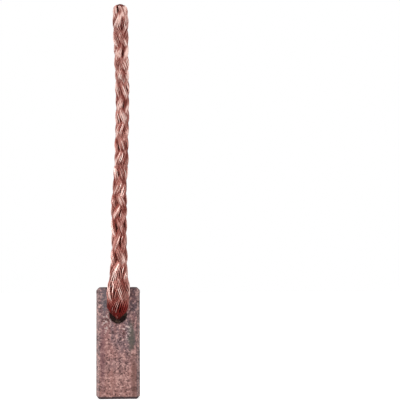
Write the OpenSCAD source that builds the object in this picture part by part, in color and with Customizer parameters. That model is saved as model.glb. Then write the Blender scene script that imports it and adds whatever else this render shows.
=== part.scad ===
// Carbon brush: a metal-graphite block with a flat copper braid tamped into a hole in its front face.
// Millimetres, +Z up. The origin is the centre of the contact end. The lead leaves the -Y face.

/* [Brush block] */
// Width of the block, across the face that the lead leaves
block_w = 6.3; // [5:0.1:10]
// Thickness of the block, from the lead's face to the back
block_t = 6.1; // [5.6:0.1:10]
// Height of the block, from the contact end to the spring end
block_h = 16; // [10:0.5:32]
// Chamfer round the edges of the two side faces
side_chamfer = 0.45; // [0.1:0.05:0.8]

/* [Lead hole] */
// Diameter of the hole that the lead is tamped into
hole_d = 2.3; // [2.1:0.1:3]
// Depth of the hole, without its drill point
hole_depth = 4.2; // [2.5:0.1:4.5]
// Distance of the hole's axis below the spring end
hole_drop = 4; // [2.5:0.1:6]
// Included angle of the drill point
drill_angle = 118; // [90:1:150]

/* [Tamped powder] */
// Height that the tamped powder stands proud of the block
tamp_proud = 0.4; // [0.1:0.05:0.6]
// Least thickness of powder between the lead and the wall of the hole
tamp_wall = 0.1; // [0.05:0.05:0.3]
// Powder between the lead's end and the shoulder of the drill point
tamp_bed = 0.2; // [0.1:0.1:1]

/* [Braided lead] */
// Width of the free braid
braid_w = 1.9; // [1.5:0.1:2.4]
// Thickness of the free braid
braid_t = 1.4; // [1:0.1:1.5]

/* [Hidden] */
$fn = 64;

block_colour = "#8f6f69";
powder_colour = "#2b231f";
copper_colour = "#a9624f";

hole_r = hole_d / 2;
drill_point = hole_r / tan(drill_angle / 2);
mouth = [0, -block_t / 2, block_h - hole_drop];

// The lead's route from the hole's mouth, and at each point the width and the thickness of
// the braid there, as multiples of the free braid's. It turns up sharply out of the hole,
// spread flat by the bend, and then leans away from the block.
lead_route = [
    [[0, -0.45, 0.2], 1.35, 1.25],
    [[0, -0.8, 0.65], 1.55, 1.15],
    [[0, -0.95, 1.3], 1.6, 1.15],
    [[0, -1.05, 2.2], 1.65, 1.1],
    [[0.05, -1.25, 3.2], 1.65, 1],
    [[0.1, -1.35, 4.4], 1.6, 0.85],
    [[0.1, -1.4, 6.2], 1.3, 0.95],
    [[0.15, -1.65, 9], 1.15, 1.05],
    [[0.15, -1.95, 12.2], 1.1, 1.1],
    [[0.15, -2.35, 15.6], 1.15, 1.1],
    [[0.25, -2.85, 18.4], 1, 1.1],
    [[0.45, -3.6, 21.4], 1, 1.1],
    [[0.5, -4.4, 24.4], 0.95, 1.1],
    [[0.6, -5.3, 27.4], 0.95, 1],
    [[0.6, -6.6, 30.4], 0.95, 0.95],
    [[0.55, -8.3, 33.3], 0.95, 0.9],
    [[0.45, -10.1, 36.2], 1, 0.9],
    [[0.35, -12, 38.9], 1.05, 0.95],
    [[0.3, -14, 41.7], 1.05, 1.1]
];

lead_sides = 8;
corner_angle = 180 / lead_sides;
// Inside the hole the braid is gathered into a round bundle that leaves the powder's wall
bundle_w = (hole_d - 2 * tamp_wall) * cos(corner_angle);
lead_end = [0, hole_depth - tamp_bed, 0];
bundle_route = [lead_end, lead_end / 2, [0, 0, 0]];

ring_places = concat(
    [for (p = bundle_route) mouth + p],
    [for (r = lead_route) mouth + r[0]]
);
ring_sizes = concat(
    [for (p = bundle_route) [bundle_w, bundle_w]],
    [for (r = lead_route) [r[1] * braid_w, r[2] * braid_t]]
);

function unit(v) = v / norm(v);

// Direction of the route at its point k, from the neighbours on both sides
function heading(k) =
    unit(ring_places[min(k + 1, len(ring_places) - 1)] - ring_places[max(k - 1, 0)]);

// One flat-sided ring round the route at its point k, wide across X
function ring(k) =
    let (
        along = heading(k),
        across = unit([1, 0, 0] - along * along.x),
        through = cross(along, across),
        half = ring_sizes[k] / 2 / cos(corner_angle)
    )
    [
        for (i = [0:lead_sides - 1])
            let (a = (2 * i + 1) * corner_angle)
            ring_places[k] + across * half.x * cos(a) + through * half.y * sin(a)
    ];

// The lead as one closed tube, a ring of corners at each point of its route
module lead_tube() {
    rings = len(ring_places);
    corners = [for (k = [0:rings - 1]) each ring(k)];
    walls = [
        for (k = [0:rings - 2], i = [0:lead_sides - 1])
            let (
                a = k * lead_sides + i,
                b = k * lead_sides + (i + 1) % lead_sides
            )
            each [[a, a + lead_sides, b], [b, a + lead_sides, b + lead_sides]]
    ];
    near_cap = [for (i = [0:lead_sides - 1]) i];
    far_cap = [for (i = [lead_sides - 1:-1:0]) (rings - 1) * lead_sides + i];
    polyhedron(points = corners, faces = concat([near_cap], walls, [far_cap]));
}

// A rectangle centred on the origin whose two sides across the width have chamfered corners
module chamfered_outline(width, depth) {
    half_w = width / 2;
    half_d = depth / 2;
    c = side_chamfer;
    polygon([
        [half_w - c, -half_d],
        [half_w, c - half_d],
        [half_w, half_d - c],
        [half_w - c, half_d],
        [c - half_w, half_d],
        [-half_w, half_d - c],
        [-half_w, c - half_d],
        [c - half_w, -half_d]
    ]);
}

// Everything inside the hole's wall, from the tip of the drill point to a level in front of
// the block. The profile is revolved about the hole's axis.
module hole_space(front_level) {
    translate(mouth)
        rotate([-90, 0, 0])
            rotate_extrude()
                polygon([
                    [0, -front_level],
                    [hole_r, -front_level],
                    [hole_r, hole_depth],
                    [0, hole_depth + drill_point]
                ]);
}

// The domed heap of powder in front of the mouth, round-shouldered down to the hole's edge
module powder_dome() {
    translate(mouth)
        rotate([90, 0, 0])
            rotate_extrude()
                intersection() {
                    square([hole_r, tamp_proud]);
                    union() {
                        square([hole_r - tamp_proud, tamp_proud]);
                        translate([hole_r - tamp_proud, 0])
                            circle(r = tamp_proud);
                    }
                }
}

// The block: the outline seen from above and the outline seen from the front, run through
// each other, so that the chamfers meet in mitred corners
module brush_block() {
    cut_clearance = 1;
    color(block_colour)
        difference() {
            intersection() {
                linear_extrude(block_h)
                    chamfered_outline(block_w, block_t);
                translate([0, block_t / 2, block_h / 2])
                    rotate([90, 0, 0])
                        linear_extrude(block_t)
                            chamfered_outline(block_w, block_h);
            }
            hole_space(cut_clearance);
        }
}

// The hardened contact powder that holds the lead in the hole
module tamping_plug() {
    color(powder_colour)
        difference() {
            union() {
                hole_space(0);
                powder_dome();
            }
            lead_tube();
        }
}

// The flat braid of bare copper wire
module braided_lead() {
    color(copper_colour)
        lead_tube();
}

brush_block();
tamping_plug();
braided_lead();
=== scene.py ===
"""Carbon brush: the finish of its block, its tamped powder and its flat braid of bare copper wire.

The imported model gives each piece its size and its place. This script reads them there, works in
metres in the same frame, and adds what the solids leave out: the wires of the braid, the worn edges
of the block and the grain of the powder.
"""

import logging
import math
from abc import ABC, abstractmethod
from dataclasses import dataclass, field
from enum import Enum
from functools import partial
from typing import ClassVar

import bmesh
import bpy
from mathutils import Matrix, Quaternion, Vector


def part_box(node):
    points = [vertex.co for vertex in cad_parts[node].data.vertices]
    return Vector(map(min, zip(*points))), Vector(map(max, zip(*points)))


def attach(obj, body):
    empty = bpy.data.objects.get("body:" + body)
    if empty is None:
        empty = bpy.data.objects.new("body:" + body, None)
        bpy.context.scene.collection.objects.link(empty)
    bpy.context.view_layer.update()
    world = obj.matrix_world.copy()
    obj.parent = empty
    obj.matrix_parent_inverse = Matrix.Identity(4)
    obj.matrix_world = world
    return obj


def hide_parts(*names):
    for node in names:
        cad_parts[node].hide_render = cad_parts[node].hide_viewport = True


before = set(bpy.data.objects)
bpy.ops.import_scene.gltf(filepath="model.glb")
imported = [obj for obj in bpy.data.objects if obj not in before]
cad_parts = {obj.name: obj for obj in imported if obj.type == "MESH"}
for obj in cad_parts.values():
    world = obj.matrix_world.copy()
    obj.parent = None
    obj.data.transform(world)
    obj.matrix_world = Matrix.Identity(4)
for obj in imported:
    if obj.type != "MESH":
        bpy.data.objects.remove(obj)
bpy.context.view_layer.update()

LOG = logging.getLogger("carbon_brush")
MM = 0.001
GOLDEN_ANGLE = math.pi * (3.0 - math.sqrt(5.0))
SAME_POINT = 0.001 * MM

Node = bpy.types.Node
Socket = bpy.types.NodeSocket
Tree = bpy.types.NodeTree

MATH = "ShaderNodeMath"
VECTOR_MATH = "ShaderNodeVectorMath"
MAP_RANGE = "ShaderNodeMapRange"
MIX = "ShaderNodeMix"
NOISE = "ShaderNodeTexNoise"
VORONOI = "ShaderNodeTexVoronoi"
SPLIT = "ShaderNodeSeparateXYZ"
JOIN = "ShaderNodeCombineXYZ"
ATTRIBUTE = "ShaderNodeAttribute"
TEXTURE_PLACE = "ShaderNodeTexCoord"
LIGHT_PATH = "ShaderNodeLightPath"
STORE = "GeometryNodeStoreNamedAttribute"
NAMED = "GeometryNodeInputNamedAttribute"
SET_POSITION = "GeometryNodeSetPosition"

SOCKET_KINDS = {
    float: "NodeSocketFloat",
    int: "NodeSocketInt",
    bpy.types.Material: "NodeSocketMaterial",
}

FROM_HOLE = "from_hole"
WIRE_TONE = "wire_tone"
WEAVE_HEIGHT = "weave_height"
EDGE_WEAR = "edge_wear"
FACING = "facing"


def linear(colour: str) -> tuple[float, float, float, float]:
    """Turns an sRGB colour into the linear one that Blender's sockets take.

    Args:
        colour: the colour as six hex digits after a hash.

    Returns:
        Red, green, blue and an alpha of one.
    """
    shares = [int(colour[k : k + 2], 16) / 255 for k in (1, 3, 5)]
    curve = [s / 12.92 if s <= 0.04045 else ((s + 0.055) / 1.055) ** 2.4 for s in shares]
    return (*curve, 1.0)


WHITE = linear("#ffffff")


def per_metre(feature_mm: float) -> float:
    """The scale of a pattern whose features are that many millimetres across."""
    return 1.0 / (feature_mm * MM)


def set_inputs(tree: Tree, node: Node, inputs: dict | list | tuple) -> None:
    """Links or sets the inputs of a node.

    Args:
        tree: the shader or geometry tree that the node is in.
        node: the node.
        inputs: what each socket gets, by its name or number, or a list for the first sockets in
            order. A socket or a node is linked, and anything else becomes the socket's own value. A
            node gives its first live output.
    """
    pairs = inputs.items() if isinstance(inputs, dict) else enumerate(inputs)
    for key, value in pairs:
        socket = next(s for k, s in enumerate(node.inputs) if key in (k, s.name) and s.enabled)
        if isinstance(value, Node):
            value = next(output for output in value.outputs if output.enabled)
        if isinstance(value, Socket):
            tree.links.new(value, socket)
        else:
            socket.default_value = value


def add_node(tree: Tree, kind: str, inputs: dict | list | tuple = (), **settings) -> Node:
    """Adds one node to a tree, with its settings and its links.

    Args:
        tree: the shader or geometry tree.
        kind: the node's type.
        inputs: what its sockets get, as set_inputs takes it.
        settings: the node's own properties.

    Returns:
        The new node.
    """
    node = tree.nodes.new(kind)
    for name, value in settings.items():
        setattr(node, name, value)
    set_inputs(tree, node, inputs)
    return node


def add_object(name: str, data: bpy.types.ID) -> bpy.types.Object:
    """Puts a mesh, a light or a camera into the scene, at the origin.

    Args:
        name: the object's name.
        data: what it shows.

    Returns:
        The new object.
    """
    thing = bpy.data.objects.new(name, data)
    bpy.context.scene.collection.objects.link(thing)
    return thing


def geometry_tree(name: str, values: dict) -> tuple[Tree, Node]:
    """Starts a geometry tree.

    Args:
        name: the tree's name.
        values: what each of its named inputs will hold, in order: a number, a count or a material.

    Returns:
        The tree and its input node, whose first output is the geometry that the tree works on.
    """
    tree = bpy.data.node_groups.new(name, "GeometryNodeTree")
    tree.is_modifier = True
    for way in ("INPUT", "OUTPUT"):
        tree.interface.new_socket("Geometry", in_out=way, socket_type="NodeSocketGeometry")
    for label, value in values.items():
        tree.interface.new_socket(label, in_out="INPUT", socket_type=SOCKET_KINDS[type(value)])
    return tree, tree.nodes.new("NodeGroupInput")


def finish_tree(tree: Tree, shape: Node, material: Socket) -> None:
    """Ends a geometry tree in realized, smooth and dressed geometry.

    Args:
        tree: the geometry tree.
        shape: the node that gives the finished shape.
        material: the group's material input.
    """
    real = add_node(tree, "GeometryNodeRealizeInstances", {"Geometry": shape})
    smooth = add_node(tree, "GeometryNodeSetShadeSmooth", {"Geometry": real})
    dressed = add_node(tree, "GeometryNodeSetMaterial", {"Geometry": smooth, "Material": material})
    add_node(tree, "NodeGroupOutput", {"Geometry": dressed})


def grow(source: bpy.types.Object, tree: Tree, values: dict, name: str) -> bpy.types.Object:
    """Runs a geometry tree on an object and keeps the result as a plain mesh.

    Args:
        source: the object that the tree starts from. It is removed.
        tree: the geometry tree.
        values: the value of each named input of the tree.
        name: the name of the finished piece.

    Returns:
        The finished piece, an object at the origin with a plain mesh.
    """
    modifier = source.modifiers.new(tree.name, "NODES")
    modifier.node_group = tree
    sockets = {item.name: item.identifier for item in tree.interface.items_tree if item.in_out == "INPUT"}
    for label, value in values.items():
        modifier[sockets[label]] = value
    evaluated = source.evaluated_get(bpy.context.evaluated_depsgraph_get())
    mesh = bpy.data.meshes.new_from_object(evaluated)
    mesh.name = name
    bpy.data.objects.remove(source)
    piece = add_object(name, mesh)
    LOG.info("%s: %d faces", name, len(mesh.polygons))
    return piece


# --- the finishes ------------------------------------------------------------------------------


class Finish(ABC):
    """How a surface looks: one material, named for what it really is and how it was made."""

    label: ClassVar[str]

    def material(self) -> bpy.types.Material:
        """Makes the material and paints it.

        Returns:
            The new material.
        """
        material = bpy.data.materials.new(self.label)
        material.use_nodes = True
        self.paint(material.node_tree, material.node_tree.nodes["Principled BSDF"])
        return material

    @abstractmethod
    def paint(self, tree: Tree, shader: Node) -> None:
        """Gives the shader its colours and its gloss.

        Args:
            tree: the material's tree.
            shader: the shader in it.
        """


@dataclass(frozen=True)
class PaperFinish(Finish):
    """Uncoated white paper on a light table: an even matt white with hardly any shadow.

    The backlight is there for the eye alone, so the brush isn't lit from below.
    """

    label: ClassVar[str] = "backlit_uncoated_paper"
    colour: str = "#dcdcdc"
    roughness: float = 0.9
    backlight: float = 0.55

    def paint(self, tree: Tree, shader: Node) -> None:
        """Makes an even matt white that glows a little.

        Args:
            tree: the material's tree.
            shader: the shader in it.
        """
        seen = add_node(tree, LIGHT_PATH).outputs["Is Camera Ray"]
        glow = add_node(tree, MATH, [seen, self.backlight], operation="MULTIPLY")
        set_inputs(tree, shader, {
            "Base Color": linear(self.colour),
            "Roughness": self.roughness,
            "Emission Color": WHITE,
            "Emission Strength": glow,
        })


@dataclass(frozen=True)
class CopperFinish(Finish):
    """Drawn copper wire, bare and a little tarnished. Sizes in millimetres.

    Drawn copper gives the eye salmon glints along each carrier, painted as stretched patches of brighter,
    glossier wire. The hollows between the carriers are dark red, partly oxide and partly painted shade,
    and the crests are lighter, a painted highlight. The wires by the hole are darkest, partly where flux
    and powder stain them and partly painted shade in the bend. The free end is drawn lighter.
    """

    label: ClassVar[str] = "drawn_bare_copper"
    bright: str = "#ffdcd2"
    tarnished: str = "#c0877d"
    # The hollows' dark red is partly oxide and partly painted shade; the stained red by the hole is partly
    # painted shade too
    hollow: str = "#8a4a42"
    stained: str = "#7e2c28"
    bright_roughness: float = 0.28
    dull_roughness: float = 0.5
    # The painted glints, and how much each thing tells in how bright the wire is drawn; the height paints
    # crests lighter and hollows darker, as painted highlight and shade
    glint_width: float = 0.6
    glint_length: float = 2.2
    tone_weight: float = 2.0
    height_weight: float = 0.6
    glint_weight: float = 1.8
    cleaning: float = -0.05
    # How high the mix must be to lose the dark red of oxide and painted shade, and then to be bright
    dark_below: float = 0.15
    mid_from: float = 0.5
    bright_from: float = 0.55
    bright_above: float = 0.95
    # How much lighter the free end is drawn, and where along the lead that starts and is full
    free_end_lift: float = 0.12
    free_end_from: float = 28.0
    free_end_full: float = 36.0
    # How far from the hole the stain, partly flux and powder and partly painted shade in the bend, is full
    # and where it ends, and its share of a bright wire
    stain_full: float = 1.4
    stain_end: float = 3.2
    stain_hold: float = 0.75

    def paint(self, tree: Tree, shader: Node) -> None:
        """Mixes bright, tarnished and stained copper by the tone, the painted shade and highlight, and the
        painted glints at each place.

        Args:
            tree: the material's tree.
            shader: the shader in it.
        """
        add = partial(add_node, tree)
        along = add(ATTRIBUTE, attribute_name=FROM_HOLE).outputs["Fac"]
        clean_and_lit = self.cleanness_and_light(tree, along)
        some = add(MAP_RANGE, {"Value": clean_and_lit, "From Min": self.dark_below, "From Max": self.mid_from},
                   interpolation_type="SMOOTHSTEP")
        # The dark red between the carriers is partly oxide and partly painted shade
        oxide = add(MIX, {"Factor": some, "A": linear(self.hollow), "B": linear(self.tarnished)},
                    data_type="RGBA")
        full = add(MAP_RANGE, {"Value": clean_and_lit, "From Min": self.bright_from, "From Max": self.bright_above},
                   interpolation_type="SMOOTHSTEP")
        metal = add(MIX, {"Factor": full, "A": oxide, "B": linear(self.bright)}, data_type="RGBA")
        # The stain by the hole is partly flux and powder and partly painted shade in the bend
        near = add(MAP_RANGE, {"Value": along, "From Min": self.stain_full * MM,
                               "From Max": self.stain_end * MM, "To Min": 1.0, "To Max": 0.0},
                   interpolation_type="SMOOTHSTEP")
        hold = add(MAP_RANGE, {"Value": full, "To Min": 1.0, "To Max": self.stain_hold})
        stain = add(MATH, [near, hold], operation="MULTIPLY")
        colour = add(MIX, {"Factor": stain, "A": metal, "B": linear(self.stained)}, data_type="RGBA")
        rough = add(MAP_RANGE, {"Value": full, "To Min": self.dull_roughness,
                                "To Max": self.bright_roughness})
        set_inputs(tree, shader, {"Base Color": colour, "Metallic": 1.0, "Roughness": rough})

    def cleanness_and_light(self, tree: Tree, along: Socket) -> Node:
        """Works out how bare and how lit the wire is drawn at each place.

        Args:
            tree: the material's tree.
            along: the distance from the hole along the lead.

        Returns:
            A node that gives about 0 where the wire is drawn dark red, as oxide and painted shade, and 1
            where it is drawn bright copper, with the painted glints and highlights.
        """
        add = partial(add_node, tree)
        tone = add(ATTRIBUTE, attribute_name=WIRE_TONE).outputs["Fac"]
        height = add(ATTRIBUTE, attribute_name=WEAVE_HEIGHT).outputs["Fac"]
        place = add(TEXTURE_PLACE).outputs["Object"]
        stretch = (per_metre(self.glint_width), per_metre(self.glint_width), per_metre(self.glint_length))
        stretched = add("ShaderNodeMapping", {"Vector": place, "Scale": stretch})
        # Stretched patches of brighter, glossier copper: painted glints
        glints = add(NOISE, {"Vector": stretched, "Scale": 1.0, "Detail": 2.0})
        average = self.cleaning + 0.5 * (1.0 - self.tone_weight - self.height_weight - self.glint_weight)
        toned = add(MATH, [tone, self.tone_weight, average], operation="MULTIPLY_ADD")
        # Wires high in the weave are drawn lighter and low ones darker: painted highlight and painted shade,
        # with oxide in the hollows
        risen = add(MATH, [height, self.height_weight, toned], operation="MULTIPLY_ADD")
        glinting = add(MATH, [glints, self.glint_weight, risen], operation="MULTIPLY_ADD")
        lifted_end = add(MAP_RANGE, {"Value": along, "From Min": self.free_end_from * MM,
                                  "From Max": self.free_end_full * MM, "To Max": self.free_end_lift},
                      interpolation_type="SMOOTHSTEP")
        return add(MATH, [glinting, lifted_end], operation="ADD")


@dataclass(frozen=True)
class PowderFinish(Finish):
    """Hardened contact powder, tamped round the lead. Sizes in millimetres.

    Fine silvered copper powder is drawn as a near-black, matt and crumbly filling, partly its own dark
    and partly painted shade in the hollow under the braid, olive where its binder has bled, with a few
    bright grains. The grains are drawn coarser than the real ones, which are too fine to show.
    """

    label: ClassVar[str] = "tamped_contact_powder"
    # The near-black is partly the powder's own and partly painted shade under the braid
    dark: str = "#1d100e"
    olive: str = "#4a3a30"
    grain: str = "#c9beb4"
    roughness: float = 0.9
    specular: float = 0.12
    grain_size: float = 0.16
    grain_height: float = 0.08
    bleed_size: float = 0.9
    # Where the noise is a patch of binder, and where it is a bright grain
    bleed_from: float = 0.52
    bleed_full: float = 0.72
    bright_from: float = 0.7
    bright_full: float = 0.76

    def paint(self, tree: Tree, shader: Node) -> None:
        """Mixes dark powder, olive binder and bright grains, and roughens them.

        Args:
            tree: the material's tree.
            shader: the shader in it.
        """
        add = partial(add_node, tree)
        place = add(TEXTURE_PLACE).outputs["Object"]
        bleed = add(NOISE, {"Vector": place, "Scale": per_metre(self.bleed_size), "Detail": 2.0})
        olive = add(MAP_RANGE, {"Value": bleed, "From Min": self.bleed_from, "From Max": self.bleed_full})
        # The dark ground is partly the powder's own colour and partly painted shade
        ground = add(MIX, {"Factor": olive, "A": linear(self.dark), "B": linear(self.olive)},
                     data_type="RGBA")
        grains = add(NOISE, {"Vector": place, "Scale": per_metre(self.grain_size), "Detail": 1.0})
        bright = add(MAP_RANGE, {"Value": grains, "From Min": self.bright_from, "From Max": self.bright_full})
        colour = add(MIX, {"Factor": bright, "A": ground, "B": linear(self.grain)}, data_type="RGBA")
        crumbs = add(MATH, [grains, bleed], operation="ADD")
        bump = add("ShaderNodeBump", {"Distance": self.grain_height * MM, "Height": crumbs})
        set_inputs(tree, shader, {
            "Base Color": colour,
            "Metallic": bright,
            "Roughness": self.roughness,
            "Specular IOR Level": self.specular,
            "Normal": bump,
        })


class Face(Enum):
    """The faces of the block that carry marks: which way each looks, and the axis that runs across it."""

    FRONT = ("Y", -1.0, "X")
    LEFT = ("X", -1.0, "Y")


@dataclass(frozen=True)
class Stain:
    """One mark on a face of the block. Places and sizes in millimetres, from the axis and the floor."""

    face: Face
    across: float
    height: float
    half_width: float
    half_height: float
    colour: str
    strength: float = 1.0
    speckled: bool = False


@dataclass(frozen=True)
class MetalGraphiteFinish(Finish):
    """Pressed and sintered copper-graphite, with its faces ground. Sizes in millimetres.

    The mix of copper and graphite powders gives the eye a salmon-brown ground with dark graphite flecks
    and bright copper ones. Grinding draws soft upright streaks down the front and the back, and the
    corners are drawn with a dark line. The two sides are ground too, but drawn darker and browner, partly
    their own finish and partly painted shade, and the chamfers beside them are an even greyish pink,
    paler than the front, partly a painted sheen.
    """

    label: ClassVar[str] = "ground_metal_graphite"
    warm: str = "#845c5a"
    cool: str = "#685459"
    low_warm: str = "#91675f"
    # The sides' darker colours are partly painted shade, and the chamfer's paler pink partly a painted sheen
    side: str = "#472f31"
    side_warm: str = "#593b3b"
    chamfer: str = "#7e6867"
    rim: str = "#33282b"
    graphite: str = "#3b2424"
    copper: str = "#cba29a"
    roughness: float = 0.62
    specular: float = 0.25
    metal_roughness: float = 0.42
    # How far a face is turned aside to be a chamfer, and then to be a side
    slope_from: float = 0.25
    slope_full: float = 0.5
    side_from: float = 0.88
    side_full: float = 0.96
    # Streaks and patches, and the range of their noise that runs from warm to cool
    streak_width: float = 0.8
    streak_length: float = 6.0
    patch: float = 2.4
    cool_from: float = 0.86
    cool_full: float = 1.14
    # The lower part of the front is warmer: its share, where it is full and where it ends
    low_share: float = 0.7
    low_full: float = 3.0
    low_end: float = 9.0
    # The grains and their clumps, and the range of their noise that shows each powder
    clump: float = 0.5
    clump_height: float = 0.04
    grain: float = 0.2
    grain_weight: float = 0.5
    copper_from: float = 0.8
    copper_full: float = 1.02
    copper_share: float = 0.75
    graphite_from: float = 0.68
    graphite_full: float = 0.46
    graphite_share: float = 0.85
    side_copper: float = 0.3
    # The stains' edges: how coarse and how ragged they are, and how far out they fade
    ragged_edge: float = 0.8
    raggedness: float = 1.4
    stain_full: float = 1.2
    stain_end: float = 1.9
    squarely: float = 0.8
    # The dark lines: on the corners by how much was rubbed off, round the ends, beside the chamfers
    rim_from: float = 0.012
    rim_full: float = 0.06
    rim_share: float = 0.7
    end_line: float = 0.28
    end_shift: float = 0.08
    end_from: float = 0.7
    end_full: float = 0.2
    end_share: float = 0.95
    crease_share: float = 3.2
    stains: tuple[Stain, ...] = (
        Stain(Face.FRONT, across=1.95, height=8.7, half_width=0.6, half_height=2.3, colour="#47463f",
              strength=0.85),
        Stain(Face.FRONT, across=2.25, height=3.4, half_width=0.4, half_height=4.2, colour="#5c3d37",
              strength=0.65),
        Stain(Face.FRONT, across=-2.2, height=5.5, half_width=0.4, half_height=5.0, colour="#6a464b",
              strength=0.5),
        Stain(Face.FRONT, across=-1.95, height=14.3, half_width=0.6, half_height=1.9, colour="#5c6066",
              strength=0.5),
        Stain(Face.FRONT, across=-1.6, height=11.1, half_width=0.7, half_height=1.6, colour="#b0a6a3",
              speckled=True),
        Stain(Face.FRONT, across=1.15, height=9.5, half_width=0.8, half_height=1.3, colour="#c4b2ad",
              speckled=True),
        Stain(Face.LEFT, across=-0.8, height=6.4, half_width=0.85, half_height=5.0, colour="#302e2c",
              strength=0.6),
    )

    def paint(self, tree: Tree, shader: Node) -> None:
        """Lays the flecks, the stains and the dark lines over the ground colours.

        Args:
            tree: the material's tree.
            shader: the shader in it.
        """
        add = partial(add_node, tree)
        place = add(TEXTURE_PLACE).outputs["Object"]
        facing = add(SPLIT, [add(ATTRIBUTE, attribute_name=FACING).outputs["Vector"]])
        sideways = add(MATH, [facing.outputs["X"]], operation="ABSOLUTE")
        side = add(MAP_RANGE, {"Value": sideways, "From Min": self.side_from, "From Max": self.side_full})
        ragged = add(NOISE, {"Vector": place, "Scale": per_metre(self.ragged_edge), "Detail": 3.0})
        ground = self.ground(tree, place, sideways, side)

        # Flecks of copper and graphite, drawn a few times as coarse as the real powders so as to show
        clumps = add(NOISE, {"Vector": place, "Scale": per_metre(self.clump), "Detail": 3.0})
        grains = add(VORONOI, {"Vector": place, "Scale": per_metre(self.grain)})
        kinds = add(SPLIT, [grains.outputs["Color"]])
        mixed = add(MATH, [kinds.outputs["X"], self.grain_weight, clumps], operation="MULTIPLY_ADD")
        copper = add(MAP_RANGE, {"Value": mixed, "From Min": self.copper_from, "From Max": self.copper_full,
                                 "To Max": self.copper_share})
        graphite = add(MAP_RANGE, {"Value": mixed, "From Min": self.graphite_from,
                                   "From Max": self.graphite_full, "To Max": self.graphite_share})
        faint = add(MAP_RANGE, {"Value": side, "To Min": 1.0, "To Max": self.side_copper})
        copper_share = add(MATH, [copper, faint], operation="MULTIPLY")
        coppered = add(MIX, {"Factor": copper_share, "A": ground, "B": linear(self.copper)}, data_type="RGBA")
        flecked = add(MIX, {"Factor": graphite, "A": coppered, "B": linear(self.graphite)}, data_type="RGBA")

        stained = flecked
        for stain in self.stains:
            share = self.stain_share(tree, stain, place, facing, ragged)
            if stain.speckled:
                share = add(MATH, [share, copper], operation="MULTIPLY")
            stained = add(MIX, {"Factor": share, "A": stained, "B": linear(stain.colour)}, data_type="RGBA")
        lines = self.dark_lines(tree, place, facing, side, ragged)
        colour = add(MIX, {"Factor": lines, "A": stained, "B": linear(self.rim)}, data_type="RGBA")
        rough = add(MAP_RANGE, {"Value": copper, "To Min": self.roughness, "To Max": self.metal_roughness})
        bump = add("ShaderNodeBump", {"Distance": self.clump_height * MM, "Height": clumps})
        set_inputs(tree, shader, {
            "Base Color": colour,
            "Metallic": copper,
            "Roughness": rough,
            "Specular IOR Level": self.specular,
            "Normal": bump,
        })

    def ground(self, tree: Tree, place: Socket, sideways: Node, side: Node) -> Node:
        """Mixes the ground colours of the front, the sides, darker partly as painted shade, and the chamfers,
        paler partly as a painted sheen.

        Args:
            tree: the material's tree.
            place: the place on the block.
            sideways: how far the face is turned aside.
            side: 1 on the two sides, and 0 elsewhere.

        Returns:
            The node that gives the colour.
        """
        add = partial(add_node, tree)
        stretch = (per_metre(self.streak_width), per_metre(self.streak_width), per_metre(self.streak_length))
        drawn = add("ShaderNodeMapping", {"Vector": place, "Scale": stretch})
        streaks = add(NOISE, {"Vector": drawn, "Scale": 1.0, "Detail": 3.0})
        patches = add(NOISE, {"Vector": place, "Scale": per_metre(self.patch), "Detail": 3.0})
        uneven = add(MATH, [streaks, patches], operation="ADD")
        coolness = add(MAP_RANGE, {"Value": uneven, "From Min": self.cool_from, "From Max": self.cool_full})
        upper = add(MIX, {"Factor": coolness, "A": linear(self.warm), "B": linear(self.cool)},
                    data_type="RGBA")
        height = add(SPLIT, [place]).outputs["Z"]
        low = add(MAP_RANGE, {"Value": height, "From Min": self.low_full * MM, "From Max": self.low_end * MM,
                              "To Min": self.low_share, "To Max": 0.0})
        front = add(MIX, {"Factor": low, "A": upper, "B": linear(self.low_warm)}, data_type="RGBA")
        # The sides are drawn darker: partly their own finish, partly painted shade
        sides = add(MIX, {"Factor": coolness, "A": linear(self.side_warm), "B": linear(self.side)},
                    data_type="RGBA")
        # The chamfers' paler greyish pink is partly a painted sheen
        sloped = add(MAP_RANGE, {"Value": sideways, "From Min": self.slope_from, "From Max": self.slope_full})
        cut = add(MIX, {"Factor": sloped, "A": front, "B": linear(self.chamfer)}, data_type="RGBA")
        return add(MIX, {"Factor": side, "A": cut, "B": sides}, data_type="RGBA")

    def stain_share(self, tree: Tree, stain: Stain, place: Socket, facing: Node, ragged: Node) -> Node:
        """Works out how much of a stain shows: all of it inside a ragged oval on its own face.

        Args:
            tree: the material's tree.
            stain: the stain.
            place: the place on the block.
            facing: the node that splits the way the face looks.
            ragged: the noise that tears the edge.

        Returns:
            The node that gives the share.
        """
        add = partial(add_node, tree)
        look, sign, run = stain.face.value
        centre = {"X": 0.0, "Y": 0.0, "Z": stain.height * MM, run: stain.across * MM}
        size = {"X": 1.0, "Y": 1.0, "Z": stain.half_height * MM, run: stain.half_width * MM}
        flat = {axis: float(axis != look) for axis in "XYZ"}
        moved = add(VECTOR_MATH, [place, tuple(centre.values())], operation="SUBTRACT")
        shared = add(VECTOR_MATH, [moved, tuple(size.values())], operation="DIVIDE")
        within = add(VECTOR_MATH, [shared, tuple(flat.values())], operation="MULTIPLY")
        away = add(VECTOR_MATH, [within], operation="LENGTH").outputs["Value"]
        torn = add(MATH, [ragged, self.raggedness, away], operation="MULTIPLY_ADD")
        inside = add(MAP_RANGE, {"Value": torn, "From Min": self.stain_end, "From Max": self.stain_full,
                                 "To Max": stain.strength})
        turned = add(MATH, [facing.outputs[look], sign], operation="MULTIPLY")
        there = add(MATH, [turned, self.squarely], operation="GREATER_THAN")
        return add(MATH, [inside, there], operation="MULTIPLY")

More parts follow.
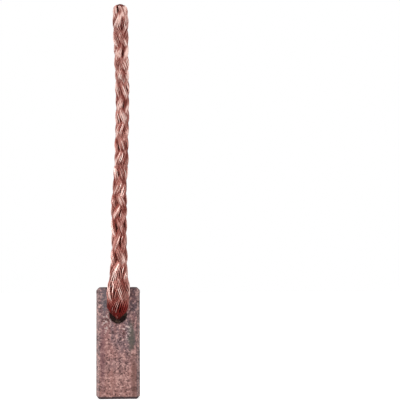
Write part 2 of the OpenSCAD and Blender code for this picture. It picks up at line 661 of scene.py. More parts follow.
    def dark_lines(self, tree: Tree, place: Socket, facing: Node, side: Node, ragged: Node) -> Node:
        """Works out the dark line on the rubbed corners, the wavering line round each end and the chamfers'
        creases.

        Args:
            tree: the material's tree.
            place: the place on the block.
            facing: the node that splits the way the face looks.
            side: 1 on the two sides, and 0 elsewhere.
            ragged: the noise that the end lines waver by.

        Returns:
            The node that gives how dark the line is.
        """
        add = partial(add_node, tree)
        worn = add(ATTRIBUTE, attribute_name=EDGE_WEAR).outputs["Fac"]
        corner_line = add(MAP_RANGE, {"Value": worn, "From Min": self.rim_from * MM,
                                  "From Max": self.rim_full * MM, "To Max": self.rim_share})
        block_low, block_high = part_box("brush_block")
        middle = (block_high.z + block_low.z) / 2
        height = add(SPLIT, [place]).outputs["Z"]
        from_middle = add(MATH, [height, middle + self.end_shift * MM], operation="SUBTRACT")
        end_reach = add(MATH, [from_middle], operation="ABSOLUTE")
        wavering = add(MATH, [ragged, self.end_line * MM, end_reach], operation="MULTIPLY_ADD")
        ends = add(MAP_RANGE, {"Value": wavering, "From Min": middle - self.end_from * self.end_line * MM,
                               "From Max": middle - self.end_full * self.end_line * MM,
                               "To Max": self.end_share})
        upright = add(MATH, [facing.outputs["Z"]], operation="ABSOLUTE")
        standing = add(MATH, [upright, self.squarely], operation="LESS_THAN")
        end_lines = add(MATH, [ends, standing], operation="MULTIPLY")
        off_side = add(MATH, [1.0, side], operation="SUBTRACT")
        crease = add(MATH, [side, off_side], operation="MULTIPLY")
        creases = add(MATH, [crease, self.crease_share], operation="MULTIPLY")
        corners = add(MATH, [corner_line, end_lines], operation="MAXIMUM")
        return add(MATH, [corners, creases], operation="MAXIMUM")


# --- the studio --------------------------------------------------------------------------------


@dataclass(frozen=True)
class SoftSun:
    """A broad, distant studio light. Angles in degrees, strength in watts per square metre."""

    name: str
    elevation: float
    from_left: float
    strength: float
    spread: float

    def hang(self) -> None:
        """Makes the light and aims it at the brush."""
        lamp = bpy.data.lights.new(self.name, "SUN")
        lamp.energy = self.strength
        lamp.angle = math.radians(self.spread)
        light = add_object(self.name, lamp)
        up = math.radians(self.elevation)
        left = math.radians(self.from_left)
        back = Vector((-math.sin(left) * math.cos(up), -math.cos(left) * math.cos(up), math.sin(up)))
        light.rotation_euler = back.to_track_quat("Z", "Y").to_euler()


@dataclass
class Studio:
    """The camera, the lights and the white floor. Sizes in millimetres, the roll in degrees."""

    eye_distance: float = 180.0
    eye_height: float = 16.2
    aim_right: float = 11.87
    aim_height: float = 28.56
    roll: float = -0.27
    lens: float = 112.05
    sensor: float = 36.0
    floor_reach: float = 2400.0
    sky_glow: float = 0.8
    lights: tuple[SoftSun, ...] = (
        SoftSun("top_softbox", elevation=75, from_left=10, strength=1.2, spread=60),
        SoftSun("key_softbox", elevation=20, from_left=45, strength=1.8, spread=50),
    )

    def set_up(self) -> None:
        """Makes everything that stands round the brush."""
        bpy.context.scene.view_settings.view_transform = "Standard"
        self.place_camera()
        self.light_sky()
        for light in self.lights:
            light.hang()
        self.lay_floor()
        LOG.info("studio: camera, %d lights and floor", len(self.lights))

    def place_camera(self) -> None:
        """Stands the camera at the height of the block's top and aims it beside the lead."""
        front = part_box("brush_block")[0].y
        lens = bpy.data.cameras.new("camera")
        lens.sensor_width = self.sensor
        lens.lens = self.lens
        camera = add_object("camera", lens)
        camera.location = Vector((0.0, front - self.eye_distance * MM, self.eye_height * MM))
        aim = Vector((self.aim_right * MM, front, self.aim_height * MM))
        roll = Quaternion((0.0, 0.0, 1.0), math.radians(self.roll))
        camera.rotation_euler = ((aim - camera.location).to_track_quat("-Z", "Y") @ roll).to_euler()
        bpy.context.scene.camera = camera

    def light_sky(self) -> None:
        """Fills the shadows with a dim even glow behind a backdrop that the camera sees as white."""
        world = bpy.data.worlds.new("studio")
        world.use_nodes = True
        world.node_tree.nodes.clear()
        add = partial(add_node, world.node_tree)
        fill = add("ShaderNodeBackground", {"Color": WHITE, "Strength": self.sky_glow})
        backdrop = add("ShaderNodeBackground", {"Color": WHITE})
        seen = add(LIGHT_PATH).outputs["Is Camera Ray"]
        both = add("ShaderNodeMixShader", [seen, fill, backdrop])
        add("ShaderNodeOutputWorld", {"Surface": both})
        bpy.context.scene.world = world

    def lay_floor(self) -> None:
        """Lays a large matt white sheet under the brush."""
        reach = self.floor_reach * MM
        mesh = bpy.data.meshes.new("floor")
        corners = [(-reach, -reach, 0.0), (reach, -reach, 0.0), (reach, reach, 0.0), (-reach, reach, 0.0)]
        mesh.from_pydata(corners, [], [(0, 1, 2, 3)])
        mesh.materials.append(PaperFinish().material())
        add_object("floor", mesh)


# --- the braided lead --------------------------------------------------------------------------


class Turn(Enum):
    """Which way a carrier of the braid winds round the lead as it leaves the block."""

    RIGHT = 1
    LEFT = -1


class BraidTree:
    """The geometry tree that braids wires round a route.

    Each wire is a copy of the route, numbered, and moved across and through the lead by its place in
    the braid. The steps of the tree are methods, and what one step leaves for the next is kept here.
    """

    # Noise stays mostly between these, round its mean of a half
    NOISE_LOW: ClassVar[float] = 0.25
    NOISE_HIGH: ClassVar[float] = 0.75

    def __init__(self, values: dict) -> None:
        """Starts the tree.

        Args:
            values: what each of its named inputs will hold.
        """
        self.tree, given = geometry_tree("braid", values)
        self.add = partial(add_node, self.tree)
        self.size = given.outputs

    def build(self) -> Tree:
        """Makes the tree's steps in order.

        Returns:
            The geometry tree.
        """
        self.copy_route()
        self.number_wires()
        self.measure_along()
        self.wind_carriers()
        self.slacken_carriers()
        self.size_oval()
        self.set_wires_aside()
        self.wrap_oval()
        self.raise_wires()
        self.fill_core()
        self.cut_end()
        self.mark_wires()
        self.draw_wires()
        return self.tree

    def copy_route(self) -> None:
        """Makes the route one smooth line, and copies it once for each wire."""
        add, size = self.add, self.size
        line = add("GeometryNodeMeshToCurve", {"Mesh": size["Geometry"]})
        typed = add("GeometryNodeCurveSplineType", {"Curve": line}, spline_type="CATMULL_ROM")
        fine = add("GeometryNodeSetSplineResolution", {"Geometry": typed, "Resolution": size["Fineness"]})
        even = add("GeometryNodeResampleCurve", {"Curve": fine, "Count": size["Steps"]})
        doubled = add(MATH, [size["Top Wires"], 2.0], operation="MULTIPLY")
        self.wires = add(MATH, [doubled, 2.0], operation="SUBTRACT")
        strands = add(MATH, [size["Carriers"], 2.0], operation="MULTIPLY")
        self.braided = add(MATH, [strands, self.wires], operation="MULTIPLY")
        amount = add(MATH, [self.braided, size["Core Wires"]], operation="ADD")
        self.copies = add("GeometryNodeDuplicateElements", {"Geometry": even, "Amount": amount},
                          domain="SPLINE")
        self.number = self.copies.outputs["Duplicate Index"]

    def number_wires(self) -> None:
        """Finds which carrier a wire belongs to, which way that winds, and the wire's place in it.

        A carrier has an upper layer of wires and a lower one with two wires fewer.
        """
        add, size = self.add, self.size
        strand_share = add(MATH, [self.number, self.wires], operation="DIVIDE")
        self.strand = add(MATH, [strand_share], operation="FLOOR")
        wire = add(MATH, [self.number, self.wires], operation="FLOORED_MODULO")
        odd = add(MATH, [self.strand, 2.0], operation="FLOORED_MODULO")
        self.turn = add(MAP_RANGE, {"Value": odd, "To Min": Turn.LEFT.value, "To Max": Turn.RIGHT.value})
        half_strand = add(MATH, [self.strand, 2.0], operation="DIVIDE")
        self.carrier = add(MATH, [half_strand], operation="FLOOR")
        last_top = add(MATH, [size["Top Wires"], 0.5], operation="SUBTRACT")
        self.lower = add(MATH, [wire, last_top], operation="GREATER_THAN")
        skipped = add(MATH, [self.lower, size["Top Wires"]], operation="MULTIPLY")
        rank = add(MATH, [wire, skipped], operation="SUBTRACT")
        fewer = add(MATH, [self.lower, -2.0, size["Top Wires"]], operation="MULTIPLY_ADD")
        self.middle = add(MATH, [fewer, 0.5, -0.5], operation="MULTIPLY_ADD")
        self.side_rank = add(MATH, [rank, self.middle], operation="SUBTRACT")

    def noise_along(self, patch: str, row: Node, detail: float) -> Node:
        """Makes a noise that changes along the lead and has a row of its own for each wire or carrier.

        Args:
            patch: the input that holds the length over which it changes.
            row: the number of its row.
            detail: how many finer layers it has.

        Returns:
            The noise.
        """
        place = self.add(MATH, [self.along, self.size[patch]], operation="DIVIDE")
        spot = self.add(JOIN, {"X": place, "Y": row})
        return self.add(NOISE, {"Vector": spot, "Scale": 1.0, "Detail": detail}, noise_dimensions="2D")

    def eased(self, place: Node, reach: str, first: Socket | float, last: Socket | float) -> Node:
        """Makes a value that runs smoothly from one to another over the start of the lead.

        Args:
            place: where along the lead.
            reach: the input that holds the length over which it runs.
            first: the value at the start.
            last: the value from there on.

        Returns:
            The value.
        """
        limits = {"Value": place, "From Max": self.size[reach], "To Min": first, "To Max": last}
        return self.add(MAP_RANGE, limits, interpolation_type="SMOOTHSTEP")

    def measure_along(self) -> None:
        """Measures along the lead, and turns that into the braid's phase, which drifts a little."""
        add, size = self.add, self.size
        parameter = add("GeometryNodeSplineParameter")
        self.factor = parameter.outputs["Factor"]
        self.along = parameter.outputs["Length"]
        self.from_hole = add(MATH, [self.along, size["Buried"]], operation="SUBTRACT")
        drift = self.noise_along("Drift Patch", size["Seed"], detail=1.0)
        least_slip = add(MATH, [size["Drift"], -1.0], operation="MULTIPLY")
        slip = add(MAP_RANGE, {"Value": drift, "To Min": least_slip, "To Max": size["Drift"]})
        drifted = add(MATH, [self.along, slip], operation="ADD")
        drawn = self.eased(self.along, "Drawn Reach", size["Drawn Out"], 0.0)
        place = add(MATH, [drifted, drawn], operation="ADD")
        turns = add(MATH, [place, size["Lay"]], operation="DIVIDE")
        self.phase = add(MATH, [turns, math.tau], operation="MULTIPLY")

    def wind_carriers(self) -> None:
        """Finds each carrier's angle round the lead, and how high it rides over the others."""
        add, size = self.add, self.size
        wound = add(MATH, [self.phase, self.turn, size["Start Angle"]], operation="MULTIPLY_ADD")
        spacing = add(MATH, [math.tau, size["Carriers"]], operation="DIVIDE")
        self.angle = add(MATH, [self.carrier, spacing, wound], operation="MULTIPLY_ADD")
        crossing = add(MATH, [self.phase, size["Carriers"]], operation="MULTIPLY")
        wave = add(MATH, [crossing], operation="COSINE")
        self.over = add(MATH, [wave, self.turn], operation="MULTIPLY")

    def slacken_carriers(self) -> None:
        """Finds how slack each carrier is along the lead: aside, in height and in width."""
        add, size = self.add, self.size
        row = add(MATH, [self.strand, math.e, size["Seed"]], operation="MULTIPLY_ADD")
        loose = self.noise_along("Loose Patch", row, detail=1.0)
        slack = add(VECTOR_MATH, [loose.outputs["Color"], (0.5, 0.5, 0.5)], operation="SUBTRACT")
        slacks = add(SPLIT, [slack])
        self.aside = add(MATH, [slacks.outputs["X"], size["Loose"]], operation="MULTIPLY")
        self.raised = add(MATH, [slacks.outputs["Y"], size["Loose"]], operation="MULTIPLY")
        self.wider = add(MATH, [slacks.outputs["Z"], 1.0], operation="ADD")

    def size_oval(self) -> None:
        """Finds the radii of the oval that the carriers wind on, narrow at the hole."""
        add, size = self.add, self.size
        gathered = self.eased(self.from_hole, "Gather Reach", size["Gather"], 1.0)
        closed = self.eased(self.from_hole, "Gather Reach", size["Gather Through"], 1.0)
        swollen = self.eased(self.from_hole, "Drawn Reach", size["Swell"], 1.0)
        full_width = add(NAMED, {"Name": "width"}, data_type="FLOAT")
        full_thick = add(NAMED, {"Name": "thickness"}, data_type="FLOAT")
        self.width = add(MATH, [full_width, gathered], operation="MULTIPLY")
        fuller = add(MATH, [full_thick, swollen], operation="MULTIPLY")
        thickness = add(MATH, [fuller, closed], operation="MULTIPLY")
        self.reach = add(MATH, [size["Weave"], size["Crown"]], operation="ADD")
        wide_skin = add(MATH, [self.reach, size["Sunk Across"]], operation="MULTIPLY")
        deep_skin = add(MATH, [self.reach, size["Sunk Through"]], operation="MULTIPLY")
        wide_wires = add(MATH, [self.width, size["Wire"]], operation="SUBTRACT")
        deep_wires = add(MATH, [thickness, size["Wire"]], operation="SUBTRACT")
        self.half_width = add(MATH, [wide_wires, 0.5], operation="MULTIPLY")
        self.half_thick = add(MATH, [deep_wires, 0.5], operation="MULTIPLY")
        self.long_radius = add(MATH, [self.half_width, wide_skin], operation="SUBTRACT")
        self.short_radius = add(MATH, [self.half_thick, deep_skin], operation="SUBTRACT")

    def set_wires_aside(self) -> None:
        """Sets each wire aside from the middle of its carrier, wandering a little."""
        add, size = self.add, self.size
        self.wire_row = add(MATH, [self.number, math.pi, size["Seed"]], operation="MULTIPLY_ADD")
        wander = self.noise_along("Wander Patch", self.wire_row, detail=2.0)
        most_left = add(MATH, [size["Wander"], -1.0], operation="MULTIPLY")
        shake = add(MAP_RANGE, {"Value": wander, "From Min": self.NOISE_LOW, "From Max": self.NOISE_HIGH,
                                "To Min": most_left, "To Max": size["Wander"]})
        shaken = add(MATH, [self.side_rank, shake], operation="ADD")
        pinch = add(MAP_RANGE, {"Value": self.over, "From Min": -1.0, "To Min": size["Squeeze"]})
        spread = add(MATH, [self.width, size["Nominal Width"]], operation="DIVIDE")
        pitch = add(MATH, [spread, size["Wire"]], operation="MULTIPLY")
        loosened = add(MATH, [pinch, self.wider], operation="MULTIPLY")
        pinched = add(MATH, [pitch, loosened], operation="MULTIPLY")
        self.sideways = add(MATH, [shaken, pinched, self.aside], operation="MULTIPLY_ADD")

    def wrap_oval(self) -> None:
        """Turns each wire's distance aside into its place on the oval, and finds the way out of it."""
        add = self.add
        sine = add(MATH, [self.angle], operation="SINE")
        cosine = add(MATH, [self.angle], operation="COSINE")
        speed_x = add(MATH, [self.long_radius, sine], operation="MULTIPLY")
        speed_y = add(MATH, [self.short_radius, cosine], operation="MULTIPLY")
        speed_at = add(JOIN, {"X": speed_x, "Y": speed_y})
        speed = add(VECTOR_MATH, [speed_at], operation="LENGTH").outputs["Value"]
        shift = add(MATH, [self.sideways, speed], operation="DIVIDE")
        own_angle = add(MATH, [self.angle, shift], operation="ADD")
        own_sine = add(MATH, [own_angle], operation="SINE")
        own_cosine = add(MATH, [own_angle], operation="COSINE")
        oval_x = add(MATH, [self.long_radius, own_cosine], operation="MULTIPLY")
        oval_y = add(MATH, [self.short_radius, own_sine], operation="MULTIPLY")
        self.oval = add(JOIN, {"X": oval_x, "Y": oval_y})
        out_x = add(MATH, [self.short_radius, own_cosine], operation="MULTIPLY")
        out_y = add(MATH, [self.long_radius, own_sine], operation="MULTIPLY")
        out_at = add(JOIN, {"X": out_x, "Y": out_y})
        self.outward = add(VECTOR_MATH, [out_at], operation="NORMALIZE")

    def raise_wires(self) -> None:
        """Raises the wires by the weave and by their carrier's crown, the lower layer under the upper.

        A carrier is plump where it rides over the others and flat where they press on it.
        """
        add, size = self.add, self.size
        plump = add(MAP_RANGE, {"Value": self.over, "From Min": -1.0, "To Min": size["Flat Share"]})
        full_crown = add(MATH, [plump, size["Crown"]], operation="MULTIPLY")
        edge_share = add(MATH, [self.side_rank, self.middle], operation="DIVIDE")
        edge_square = add(MATH, [edge_share, 2.0], operation="POWER")
        crown_share = add(MATH, [1.0, edge_square], operation="SUBTRACT")
        crown = add(MATH, [crown_share, full_crown], operation="MULTIPLY")
        lifted = add(MATH, [self.over, size["Weave"], crown], operation="MULTIPLY_ADD")
        settled = add(MATH, [lifted, self.raised], operation="ADD")
        sunk = add(MATH, [self.lower, size["Wire"]], operation="MULTIPLY")
        self.layer = add(MATH, [sunk, size["Layer Step"], settled], operation="MULTIPLY_ADD")
        lift = add(VECTOR_MATH, {0: self.outward, "Scale": self.layer}, operation="SCALE")
        self.woven = add(VECTOR_MATH, [self.oval, lift], operation="ADD")

    def fill_core(self) -> None:
        """Spreads the core wires evenly through the middle of the oval, as seeds are in a sunflower."""
        add, size = self.add, self.size
        core_number = add(MATH, [self.number, self.braided], operation="SUBTRACT")
        angle = add(MATH, [core_number, GOLDEN_ANGLE], operation="MULTIPLY")
        rank = add(MATH, [core_number, 0.5], operation="ADD")
        share = add(MATH, [rank, size["Core Wires"]], operation="DIVIDE")
        out = add(MATH, [share, 0.5], operation="POWER")
        depth = add(MATH, [size["Wire"], size["Core Depth"], size["Weave"]], operation="MULTIPLY_ADD")
        core_wide = add(MATH, [self.long_radius, depth], operation="SUBTRACT")
        core_deep = add(MATH, [self.short_radius, depth], operation="SUBTRACT")
        sine = add(MATH, [angle], operation="SINE")
        cosine = add(MATH, [angle], operation="COSINE")
        rim_x = add(MATH, [core_wide, cosine], operation="MULTIPLY")
        rim_y = add(MATH, [core_deep, sine], operation="MULTIPLY")
        rim = add(JOIN, {"X": rim_x, "Y": rim_y})
        core = add(VECTOR_MATH, {0: rim, "Scale": out}, operation="SCALE")
        self.inside = add(MATH, [core_number, -0.5], operation="GREATER_THAN")
        self.section = add(MIX, {"Factor": self.inside, "A": self.woven, "B": core}, data_type="VECTOR")

    def cut_end(self) -> None:
        """Cuts the end off on a slight slant, domed, and presses its rim round."""
        add, size = self.add, self.size
        self.tip = add(MAP_RANGE, {"Value": self.factor, "From Min": size["Tip Start"]},
                       interpolation_type="SMOOTHSTEP")
        flat = add(SPLIT, [self.section])
        wide_share = add(MATH, [flat.outputs["X"], self.half_width], operation="DIVIDE")
        deep_share = add(MATH, [flat.outputs["Y"], self.half_thick], operation="DIVIDE")
        slanted = add(MATH, [deep_share, size["Tip Slant"]], operation="MULTIPLY")
        far_side = add(MATH, [size["Tip Ahead"], slanted], operation="SUBTRACT")
        wide_square = add(MATH, [wide_share, 2.0], operation="POWER")
        square = add(MATH, [deep_share, deep_share, wide_square], operation="MULTIPLY_ADD")
        rounded = add(MATH, [square, size["Tip Dome"]], operation="MULTIPLY")
        longer = add(MATH, [far_side, rounded], operation="SUBTRACT")
        self.ahead = add(MATH, [longer, self.tip], operation="MULTIPLY")
        narrower = add(MAP_RANGE, {"Value": self.factor, "From Min": size["Press Start"], "To Min": 1.0,
                                   "To Max": size["Tip Share"]}, interpolation_type="SMOOTHSTEP")
        pressed = add(VECTOR_MATH, {0: self.section, "Scale": narrower}, operation="SCALE")
        self.pressed = add(SPLIT, [pressed])

    def moved(self) -> Node:
        """Turns each wire's place in the section into a move from the route.

        Returns:
            The move: across the lead, through it and along it.
        """
        add = self.add
        heading = add("GeometryNodeInputTangent")
        level = add(VECTOR_MATH, [heading, (1.0, 0.0, 0.0)], operation="CROSS_PRODUCT")
        through = add(VECTOR_MATH, [level], operation="NORMALIZE")
        across = add(VECTOR_MATH, [through, heading], operation="CROSS_PRODUCT")
        move_x = add(VECTOR_MATH, {0: across, "Scale": self.pressed.outputs["X"]}, operation="SCALE")
        move_y = add(VECTOR_MATH, {0: through, "Scale": self.pressed.outputs["Y"]}, operation="SCALE")
        move_z = add(VECTOR_MATH, {0: heading, "Scale": self.ahead}, operation="SCALE")
        move_flat = add(VECTOR_MATH, [move_x, move_y], operation="ADD")
        return add(VECTOR_MATH, [move_flat, move_z], operation="ADD")

    def mark_wires(self) -> None:
        """Stores what the finish follows: the distance from the hole, each wire's tone and its height."""
        add, size = self.add, self.size
        marked = add(STORE, {"Geometry": self.copies, "Name": FROM_HOLE, "Value": self.from_hole})
        tone_place = add(MATH, [self.along, size["Streak"]], operation="DIVIDE")
        tone_at = add(JOIN, {"X": tone_place, "Y": self.wire_row, "Z": size["Seed"]})
        tone = add(NOISE, {"Vector": tone_at, "Scale": 1.0, "Detail": 1.0})
        toned = add(STORE, {"Geometry": marked, "Name": WIRE_TONE, "Value": tone}, domain="POINT")
        # The finish draws high wires lighter and low ones darker, as painted highlight and shade, and the
        # core darker still
        height = add(MATH, [self.layer, self.reach], operation="DIVIDE")
        core_height = add(MATH, [self.inside, size["Core Height"], height], operation="MULTIPLY_ADD")
        lighter = add(MATH, [self.tip, size["Tip Light"], core_height], operation="MULTIPLY_ADD")
        self.marked = add(STORE, {"Geometry": toned, "Name": WEAVE_HEIGHT, "Value": lighter})

    def draw_wires(self) -> None:
        """Moves the copies into place, trims their ends raggedly and makes each a closed tube."""
        add, size = self.add, self.size
        laid = add(SET_POSITION, {"Geometry": self.marked, "Offset": self.moved()})
        least = add(MATH, [1.0, size["Ragged"]], operation="SUBTRACT")
        cut = add("FunctionNodeRandomValue", {2: least, 3: 1.0, "ID": self.number, "Seed": size["Seed"]})
        trimmed = add("GeometryNodeTrimCurve", {"Curve": laid, "End": cut})
        radius = add(MATH, [size["Wire"], 0.5], operation="MULTIPLY")
        ring = add("GeometryNodeCurvePrimitiveCircle", {"Resolution": size["Sides"], "Radius": radius})
        tubes = add("GeometryNodeCurveToMesh", {"Curve": trimmed, "Profile Curve": ring, "Fill Caps": True})
        finish_tree(self.tree, tubes, size["Copper"])


@dataclass
class BraidedLead:
    """The flat braid of bare copper wire, tamped into the hole at one end and cut off at the other.

    Sizes in millimetres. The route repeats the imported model's: points from the hole's mouth, with the
    braid's width and thickness there as multiples of the free braid's.
    """

    # The cord, and the short end of it that is made inside the hole, gathered into a bundle
    width: float = 1.9
    thickness: float = 1.4
    free_length: float = 45.0
    hole_drop: float = 4.0
    buried: float = 1.2
    bundle: float = 1.94
    # The carriers of one set, and their wires, drawn coarser than real ones so as to show
    carriers: int = 4
    top_wires: int = 7
    core_wires: int = 26
    wire: float = 0.15
    # The length of one turn, how far it drifts over what length, and how much the bend draws it out
    lay: float = 16.0
    drift: float = 1.2
    drift_patch: float = 9.0
    drawn_out: float = 1.3
    drawn_reach: float = 9.0
    # Shares of the width and of the thickness left at the hole, and the belly above it
    gather: float = 0.55
    gather_through: float = 0.62
    gather_reach: float = 1.6
    swell: float = 1.14
    # How far a carrier rides up and is crowned, and how flat and narrow it is under the others
    weave: float = 0.085
    crown: float = 0.11
    flat_share: float = 0.4
    squeeze: float = 0.62
    layer_step: float = -0.85
    # How slack the carriers are, and how far the wires wander in wires' widths
    loose: float = 0.12
    loose_patch: float = 5.0
    wander: float = 0.3
    wander_patch: float = 3.0
    streak: float = 3.0
    # Where the first carrier starts in degrees, and how much of the weave lies within the oval
    start_angle: float = -30.0
    sunk_across: float = 0.35
    sunk_through: float = 0.5
    # How many wires' widths the core is under the weave, and how much darker it is drawn, as painted shade
    # inside the braid
    core_depth: float = 1.5
    core_height: float = -0.3
    # The cut end: how it is cut, how far its rim is pressed in, and how much lighter it is
    tip_reach: float = 2.6
    tip_ahead: float = 0.4
    tip_slant: float = 0.35
    tip_dome: float = 0.3
    tip_share: float = 0.8
    tip_light: float = 0.2
    press_reach: float = 0.9
    ragged: float = 0.12
    # How finely it is drawn
    fineness: int = 16
    step: float = 0.38
    sides: int = 5
    seed: int = 7
    route: list[list] = field(default_factory=lambda: [
        [[0, -0.45, 0.2], 1.35, 1.25],
        [[0, -0.8, 0.65], 1.55, 1.15],
        [[0, -0.95, 1.3], 1.6, 1.15],
        [[0, -1.05, 2.2], 1.65, 1.1],
        [[0.05, -1.25, 3.2], 1.65, 1],
        [[0.1, -1.35, 4.4], 1.6, 0.85],
        [[0.1, -1.4, 6.2], 1.3, 0.95],
        [[0.15, -1.65, 9], 1.15, 1.05],
        [[0.15, -1.95, 12.2], 1.1, 1.1],
        [[0.15, -2.35, 15.6], 1.15, 1.1],
        [[0.25, -2.85, 18.4], 1, 1.1],
        [[0.45, -3.6, 21.4], 1, 1.1],
        [[0.5, -4.4, 24.4], 0.95, 1.1],
        [[0.6, -5.3, 27.4], 0.95, 1],
        [[0.6, -6.6, 30.4], 0.95, 0.95],
        [[0.55, -8.3, 33.3], 0.95, 0.9],
        [[0.45, -10.1, 36.2], 1, 0.9],
        [[0.35, -12, 38.9], 1.05, 0.95],
        [[0.3, -14, 41.7], 1.05, 1.1],
    ])

    # Which fields the tree takes: those in millimetres, and the plain shares and counts
    LENGTHS: ClassVar[tuple[str, ...]] = (
        "wire", "lay", "drift", "drift_patch", "drawn_out", "drawn_reach", "gather_reach", "weave", "crown",
        "loose", "loose_patch", "wander_patch", "streak", "buried", "tip_ahead", "tip_slant", "tip_dome",
    )
    SHARES: ClassVar[tuple[str, ...]] = (
        "carriers", "top_wires", "core_wires", "gather", "gather_through", "swell", "flat_share", "squeeze",
        "layer_step", "wander", "sunk_across", "sunk_through", "core_depth", "core_height", "tip_share",
        "tip_light", "fineness", "sides", "seed",
    )

    def build(self) -> bpy.types.Object:
        """Returns:
            The finished braid.
        """
        block_low, block_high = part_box("brush_block")
        mouth = Vector((0.0, block_low.y, block_high.z - self.hole_drop * MM))
        values = self.tree_values()
        lead = grow(self.route_object(mouth), BraidTree(values).build(), values, "copper_braid")
        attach(lead, "root")
        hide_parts("braided_lead")
        return lead

    def tree_values(self) -> dict:
        """Works out what the tree's named inputs hold.

        Returns:
            The value of each input, lengths in metres, angles in radians.
        """
        whole = self.free_length + self.buried
        values = {name: getattr(self, name) * MM for name in self.LENGTHS}
        values |= {name: getattr(self, name) for name in self.SHARES}
        values |= {
            "nominal_width": self.width * MM,
            "start_angle": math.radians(self.start_angle),
            "steps": round(whole / self.step),
            "tip_start": 1.0 - self.tip_reach / whole,
            "press_start": 1.0 - self.press_reach / whole,
            "ragged": self.ragged / self.free_length,
            "copper": CopperFinish().material(),
        }
        return {name.replace("_", " ").title(): value for name, value in values.items()}

    def route_object(self, mouth: Vector) -> bpy.types.Object:
        """Makes the line that the wires follow.

        Args:
            mouth: the centre of the hole's mouth.

        Returns:
            An object whose mesh is the route, with the braid's width and thickness at each point.
        """
        stops = [([0, self.buried, 0], self.bundle, self.bundle), ([0, 0, 0], self.bundle, self.bundle)]
        stops += [(point, w * self.width, t * self.thickness) for point, w, t in self.route]
        mesh = bpy.data.meshes.new("route")
        points = [mouth + Vector(point) * MM for point, _, _ in stops]
        mesh.from_pydata(points, [(k, k + 1) for k in range(len(points) - 1)], [])
        for name, column in (("width", 1), ("thickness", 2)):
            attribute = mesh.attributes.new(name, "FLOAT", "POINT")
            attribute.data.foreach_set("value", [stop[column] * MM for stop in stops])
        return add_object("route", mesh)


# --- the pressed pieces ------------------------------------------------------------------------


@dataclass
class PressedPiece:
    """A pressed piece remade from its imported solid, with rubbed edges and a grained surface.

    Sizes in millimetres.
    """

    node: str
    name: str
    slot: str
    finish: Finish
    mesh_size: float
    rub_steps: int
    rub_patch: float
    relief: float
    grain: float
    seed: int
    # The edges are rubbed least by this share, and more where the patches' noise is in this range
    least_rub: float = 0.25
    rub_from: float = 0.35
    rub_full: float = 0.6
    # The grain's noise at this level leaves the surface where it is
    grain_level: float = 0.6

    def build(self) -> bpy.types.Object:
        """Remakes the solid and dresses it.

        Returns:
            The finished piece.
        """
        source = self.solid()
        remesh = source.modifiers.new("even_mesh", "REMESH")
        remesh.mode = "VOXEL"
        remesh.voxel_size = self.mesh_size * MM
        values = {
            "Rub Steps": self.rub_steps,
            "Rub Patch": self.rub_patch * MM,
            "Least Rub": self.least_rub,
            "Rub From": self.rub_from,
            "Rub Full": self.rub_full,
            "Relief": self.relief * MM,
            "Grain": self.grain * MM,
            "Grain Level": self.grain_level,
            "Seed": self.seed,
            "Finish": self.finish.material(),
        }
        piece = grow(source, self.surface_tree(values), values, self.name)
        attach(piece, "root")
        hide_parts(self.node)
        return piece

    def solid(self) -> bpy.types.Object:
        """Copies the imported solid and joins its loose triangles.

        Returns:
            The solid as one closed mesh.
        """
        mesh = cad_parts[self.node].data.copy()
        mesh.materials.clear()
        shell = bmesh.new()
        shell.from_mesh(mesh)
        bmesh.ops.remove_doubles(shell, verts=shell.verts, dist=SAME_POINT)
        shell.to_mesh(mesh)
        shell.free()
        return add_object("solid", mesh)

    def surface_tree(self, values: dict) -> Tree:
        """Makes the tree that rubs the edges down unevenly and raises the grain.

        Args:
            values: what each of its named inputs will hold.

        Returns:
            The geometry tree.
        """
        tree, given = geometry_tree("pressed_surface", values)
        add, size = partial(add_node, tree), given.outputs
        place = add("GeometryNodeInputPosition")
        normal = add("GeometryNodeInputNormal")
        blurred = add("GeometryNodeBlurAttribute", {"Value": place, "Iterations": size["Rub Steps"]},
                      data_type="FLOAT_VECTOR")
        pull = add(VECTOR_MATH, [blurred, place], operation="SUBTRACT")
        depth = add(VECTOR_MATH, [pull], operation="LENGTH").outputs["Value"]
        faced = add(STORE, {"Geometry": size["Geometry"], "Name": FACING, "Value": normal},
                    data_type="FLOAT_VECTOR")
        worn = add(STORE, {"Geometry": faced, "Name": EDGE_WEAR, "Value": depth})
        patch_scale = add(MATH, [1.0, size["Rub Patch"]], operation="DIVIDE")
        patches = add(NOISE, {"Vector": place, "W": size["Seed"], "Scale": patch_scale, "Detail": 3.0},
                      noise_dimensions="4D")
        share = add(MAP_RANGE, {"Value": patches, "From Min": size["Rub From"], "From Max": size["Rub Full"],
                                "To Min": size["Least Rub"]})
        rub = add(VECTOR_MATH, {0: pull, "Scale": share}, operation="SCALE")
        rubbed = add(SET_POSITION, {"Geometry": worn, "Offset": rub})
        grain_scale = add(MATH, [1.0, size["Grain"]], operation="DIVIDE")
        grain = add(NOISE, {"Vector": place, "W": size["Seed"], "Scale": grain_scale, "Detail": 3.0},
                    noise_dimensions="4D")
        level = add(MATH, [grain, size["Grain Level"]], operation="SUBTRACT")
        height = add(MATH, [level, size["Relief"]], operation="MULTIPLY")
        raised = add(VECTOR_MATH, {0: normal, "Scale": height}, operation="SCALE")
        grained = add(SET_POSITION, {"Geometry": rubbed, "Offset": raised})
        finish_tree(tree, grained, size["Finish"])
        return tree


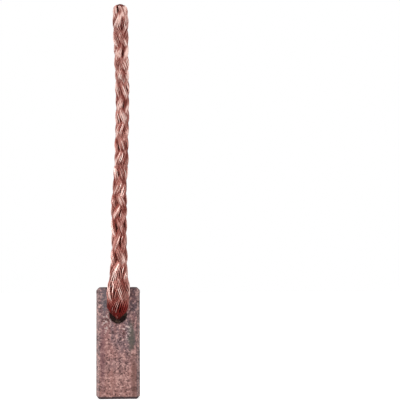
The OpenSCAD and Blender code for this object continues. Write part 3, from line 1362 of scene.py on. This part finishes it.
@dataclass
class TampedPlug(PressedPiece):
    """The powder that fills the hole round the wires, turned up as one solid with a domed front.

    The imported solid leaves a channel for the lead. Here the wires run through the powder instead, so
    that it closes on every one of them. The steps of its arc are in degrees.
    """

    drill_angle: float = 118.0
    arc_step: int = 10
    segments: int = 96

    def solid(self) -> bpy.types.Object:
        """Turns the plug's outline about the hole's axis.

        Returns:
            The solid as one closed mesh.
        """
        low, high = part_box(self.node)
        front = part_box("brush_block")[0].y
        radius = (high.x - low.x) / 2
        axis = (high.z + low.z) / 2
        point = radius / math.tan(math.radians(self.drill_angle) / 2)
        proud = front - low.y
        arc = [math.radians(angle) for angle in range(0, 91, self.arc_step)]
        outline = [(radius * math.sin(a), front - proud * math.cos(a)) for a in arc]
        outline += [(radius, high.y - point), (0.0, high.y)]
        shell = bmesh.new()
        points = [shell.verts.new((r, y, axis)) for r, y in outline]
        edges = [shell.edges.new(pair) for pair in zip(points, points[1:])]
        bmesh.ops.spin(shell, geom=points + edges, cent=(0.0, 0.0, axis), axis=(0.0, 1.0, 0.0),
                       angle=math.tau, steps=self.segments, use_merge=True)
        bmesh.ops.remove_doubles(shell, verts=shell.verts, dist=SAME_POINT)
        bmesh.ops.recalc_face_normals(shell, faces=shell.faces)
        mesh = bpy.data.meshes.new("solid")
        shell.to_mesh(mesh)
        shell.free()
        return add_object("solid", mesh)


def main() -> None:
    """Builds and dresses the brush, piece by piece."""
    logging.basicConfig(level=logging.INFO, format="%(name)s: %(message)s")
    Studio().set_up()
    BraidedLead().build()
    PressedPiece(
        node="brush_block",
        name="graphite_block",
        slot="metal_graphite",
        finish=MetalGraphiteFinish(),
        mesh_size=0.09,
        rub_steps=6,
        rub_patch=1.2,
        relief=0.02,
        grain=0.3,
        seed=3,
    ).build()
    TampedPlug(
        node="tamping_plug",
        name="powder_plug",
        slot="tamped_powder",
        finish=PowderFinish(),
        mesh_size=0.04,
        rub_steps=4,
        rub_patch=0.5,
        relief=0.16,
        grain=0.3,
        seed=5,
    ).build()


if __name__ == "__main__":
    main()
